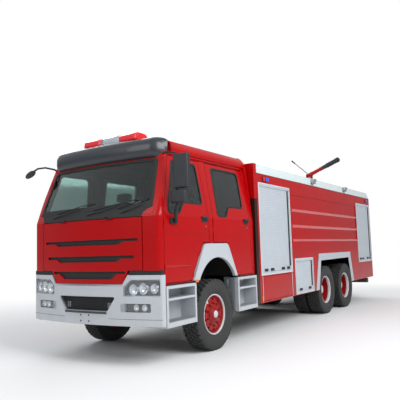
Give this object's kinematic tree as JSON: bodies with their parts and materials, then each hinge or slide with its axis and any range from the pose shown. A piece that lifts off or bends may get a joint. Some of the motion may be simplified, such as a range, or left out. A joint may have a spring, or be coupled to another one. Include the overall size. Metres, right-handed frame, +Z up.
{
  "type": "six-wheel crew-cab fire tender",
  "caption": "Red crew-cab water and foam fire tender with twin driven rear axles, roller-shutter lockers and a roof monitor.",
  "frame": {"origin": "on the ground at the centre of the vehicle's length and width", "axes": "+X to the vehicle's left, +Y rearward along its length, +Z up"},
  "size_m": [3.095, 10.088, 4.1592],
  "materials": {
    "chassis_black": "satin",
    "spring_steel": "matte",
    "cast_grey": "satin",
    "fire_red": "gloss",
    "silver_white": "satin",
    "slate_grey": "satin",
    "black_paint": "satin",
    "black_plastic": "matte",
    "grey_plastic": "matte",
    "bare_aluminium": "satin",
    "wheel_white": "gloss",
    "lamp_lens": "gloss",
    "clear_glass": "gloss",
    "tyre_rubber": "matte",
    "seat_cloth": "woven"
  },
  "bodies": {
    "vehicle": {"body_lamps": "lamp_lens", "body_shell": "fire_red", "cab_floor": "chassis_black", "cab_shell": "fire_red", "cab_steps": "silver_white", "chassis_frame": "chassis_black", "cowl": "black_plastic", "cross_members": "chassis_black", "dashboard": "grey_plastic", "driveline": "cast_grey", "engine_block": "cast_grey", "front_arches": "silver_white", "front_axle": "chassis_black", "front_bumper": "silver_white", "front_lamps": "lamp_lens", "ladder": "bare_aluminium", "leaf_springs": "spring_steel", "light_bar": "lamp_lens", "monitor_base": "cast_grey", "rear_arches": "silver_white", "rear_axles": "chassis_black", "rear_bar": "chassis_black", "roof_rails": "silver_white", "seats": "seat_cloth", "shutter_frames": "bare_aluminium", "shutters": "bare_aluminium", "visor": "slate_grey", "windscreen": "clear_glass"},
    "cab_flap": {"front_flap": "fire_red"},
    "monitor_turret": {"monitor_body": "fire_red"},
    "monitor_tube": {"monitor_barrel": "black_paint"},
    "steering_handwheel": {"steering_wheel": "black_plastic"},
    "front_door_left": {"door_front_left": "fire_red", "glass_front_left": "clear_glass", "mirror_left": "black_plastic"},
    "rear_door_left": {"door_rear_left": "fire_red", "glass_rear_left": "clear_glass"},
    "steer_left": {"knuckle_left": "chassis_black"},
    "front_wheel_left": {"tyre_front_left": "tyre_rubber", "wheel_front_left": "wheel_white"},
    "locker_left": {"locker_flap_left": "fire_red"},
    "rear_wheels_1_left": {"tyres_rear_1_left": "tyre_rubber", "wheels_rear_1_left": "wheel_white"},
    "rear_wheels_2_left": {"tyres_rear_2_left": "tyre_rubber", "wheels_rear_2_left": "wheel_white"},
    "front_door_right": {"door_front_right": "fire_red", "glass_front_right": "clear_glass", "mirror_right": "black_plastic"},
    "rear_door_right": {"door_rear_right": "fire_red", "glass_rear_right": "clear_glass"},
    "steer_right": {"knuckle_right": "chassis_black"},
    "front_wheel_right": {"tyre_front_right": "tyre_rubber", "wheel_front_right": "wheel_white"},
    "locker_right": {"locker_flap_right": "fire_red"},
    "rear_wheels_1_right": {"tyres_rear_1_right": "tyre_rubber", "wheels_rear_1_right": "wheel_white"},
    "rear_wheels_2_right": {"tyres_rear_2_right": "tyre_rubber", "wheels_rear_2_right": "wheel_white"}
  },
  "joints": [
    {"name": "front_door_left_hinge", "type": "hinge", "parent": "vehicle", "child": "front_door_left", "pos_m": [1.221, -4.806, 1.9], "axis": [0, 0, -1], "range_deg": [0, 75]},
    {"name": "rear_door_left_hinge", "type": "hinge", "parent": "vehicle", "child": "rear_door_left", "pos_m": [1.221, -3.591, 1.9], "axis": [0, 0, -1], "range_deg": [0, 75]},
    {"name": "steer_left_kingpin", "type": "hinge", "parent": "vehicle", "child": "steer_left", "pos_m": [0.85, -3.475, 0.525], "axis": [0, 0, 1], "range_deg": [-38, 38]},
    {"name": "front_wheel_left_spin", "type": "hinge", "parent": "steer_left", "child": "front_wheel_left", "pos_m": [1.01, -3.475, 0.525], "axis": [1, 0, 0], "continuous": true},
    {"name": "rear_wheels_1_left_spin", "type": "hinge", "parent": "vehicle", "child": "rear_wheels_1_left", "pos_m": [0.928, 1.125, 0.525], "axis": [1, 0, 0], "continuous": true},
    {"name": "rear_wheels_2_left_spin", "type": "hinge", "parent": "vehicle", "child": "rear_wheels_2_left", "pos_m": [0.928, 2.475, 0.525], "axis": [1, 0, 0], "continuous": true},
    {"name": "locker_left_hinge", "type": "hinge", "parent": "vehicle", "child": "locker_left", "pos_m": [1.256, -1.445, 0.578], "axis": [0, 1, 0], "range_deg": [0, 90]},
    {"name": "front_door_right_hinge", "type": "hinge", "parent": "vehicle", "child": "front_door_right", "pos_m": [-1.221, -4.806, 1.9], "axis": [0, 0, 1], "range_deg": [0, 75]},
    {"name": "rear_door_right_hinge", "type": "hinge", "parent": "vehicle", "child": "rear_door_right", "pos_m": [-1.221, -3.591, 1.9], "axis": [0, 0, 1], "range_deg": [0, 75]},
    {"name": "steer_right_kingpin", "type": "hinge", "parent": "vehicle", "child": "steer_right", "pos_m": [-0.85, -3.475, 0.525], "axis": [0, 0, 1], "range_deg": [-38, 38]},
    {"name": "front_wheel_right_spin", "type": "hinge", "parent": "steer_right", "child": "front_wheel_right", "pos_m": [-1.01, -3.475, 0.525], "axis": [1, 0, 0], "continuous": true},
    {"name": "rear_wheels_1_right_spin", "type": "hinge", "parent": "vehicle", "child": "rear_wheels_1_right", "pos_m": [-0.928, 1.125, 0.525], "axis": [1, 0, 0], "continuous": true},
    {"name": "rear_wheels_2_right_spin", "type": "hinge", "parent": "vehicle", "child": "rear_wheels_2_right", "pos_m": [-0.928, 2.475, 0.525], "axis": [1, 0, 0], "continuous": true},
    {"name": "locker_right_hinge", "type": "hinge", "parent": "vehicle", "child": "locker_right", "pos_m": [-1.256, -1.445, 0.578], "axis": [0, -1, 0], "range_deg": [0, 90]},
    {"name": "cab_flap_hinge", "type": "hinge", "parent": "vehicle", "child": "cab_flap", "pos_m": [0, -5.027, 1.955], "axis": [-1, 0, 0], "range_deg": [0, 75]},
    {"name": "steering_wheel_turn", "type": "hinge", "parent": "vehicle", "child": "steering_handwheel", "pos_m": [0.62, -4.275, 1.96], "axis": [0, 0.5736, 0.8192], "range_deg": [-760, 760]},
    {"name": "monitor_turn", "type": "hinge", "parent": "vehicle", "child": "monitor_turret", "pos_m": [0, 3.615, 3.39], "axis": [0, 0, 1], "range_deg": [-170, 170]},
    {"name": "monitor_lift", "type": "hinge", "parent": "monitor_turret", "child": "monitor_tube", "pos_m": [0, 3.615, 3.495], "axis": [0.9063, -0.4226, 0], "range_deg": [-40, 45]}
  ],
  "couplings": [
    {"joint": "steer_right_kingpin", "follows": "steer_left_kingpin", "ratio": 1},
    {"joint": "steering_wheel_turn", "follows": "steer_left_kingpin", "ratio": 20}
  ]
}
